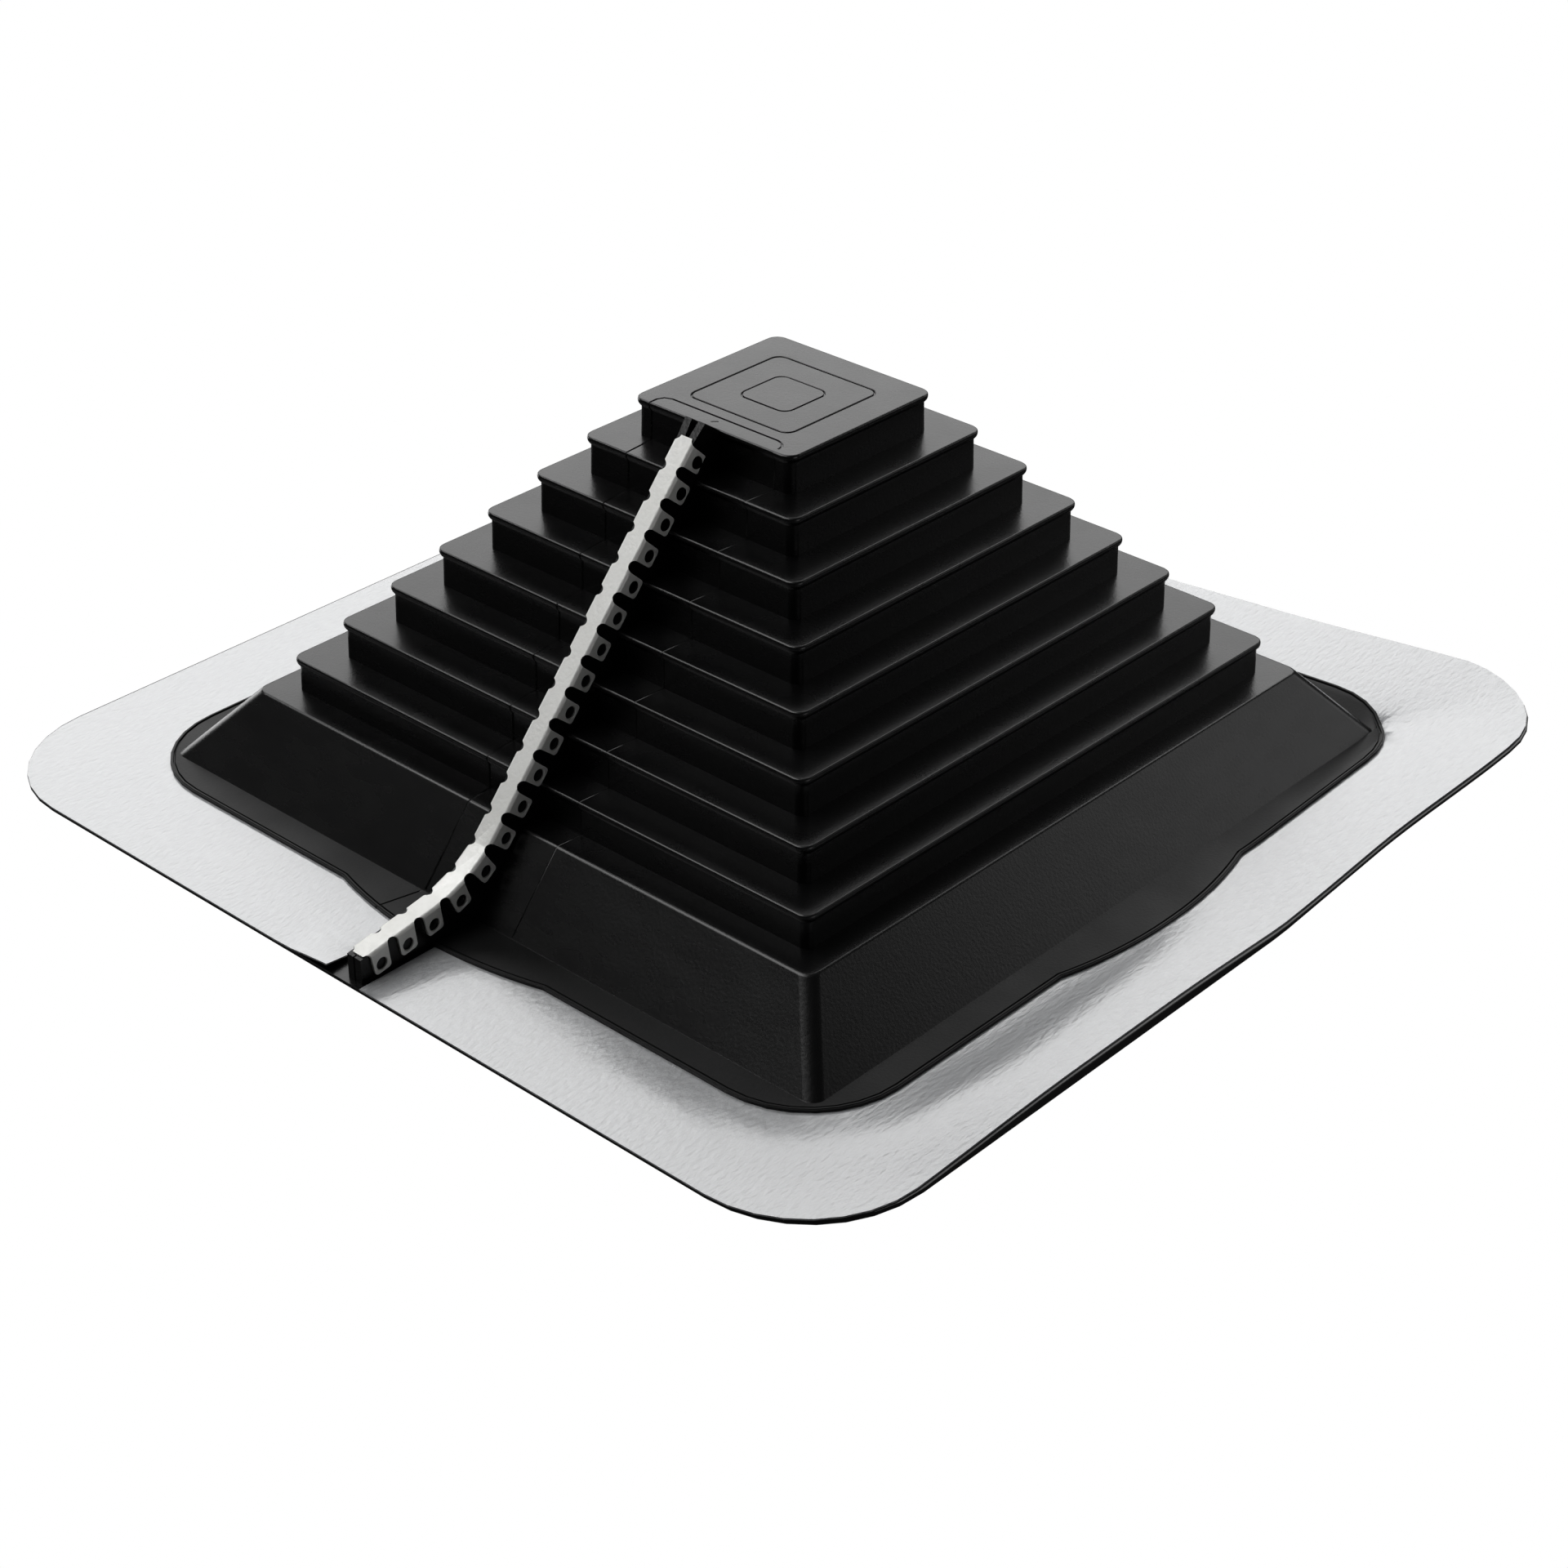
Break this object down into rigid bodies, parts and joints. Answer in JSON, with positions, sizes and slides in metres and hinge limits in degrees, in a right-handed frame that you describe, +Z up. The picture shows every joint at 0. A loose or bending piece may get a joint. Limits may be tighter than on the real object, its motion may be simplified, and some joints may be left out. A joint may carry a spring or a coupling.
{
  "type": "pipe flashing boot",
  "caption": "Square stepped rubber flashing boot for a roof pipe, split down one side, with a soft aluminium flange ring and a slotted clip strip over the split.",
  "frame": {"origin": "middle of the underside of the flange, on the roof face", "axes": "+Z up out of the roof, the split and its clip strip on the -Y side, +X to the right of a person facing the split"},
  "size_m": [0.41, 0.41, 0.1482],
  "materials": {
    "boot_rubber": "satin black moulded rubber",
    "soft_aluminium": "bright soft sheet with a fine stucco grain",
    "strip_metal": "satin galvanised sheet"
  },
  "bodies": {
    "root": {"rubber_boot": "boot_rubber", "aluminium_flange": "soft_aluminium", "closing_strip": "strip_metal"}
  },
  "joints": []
}
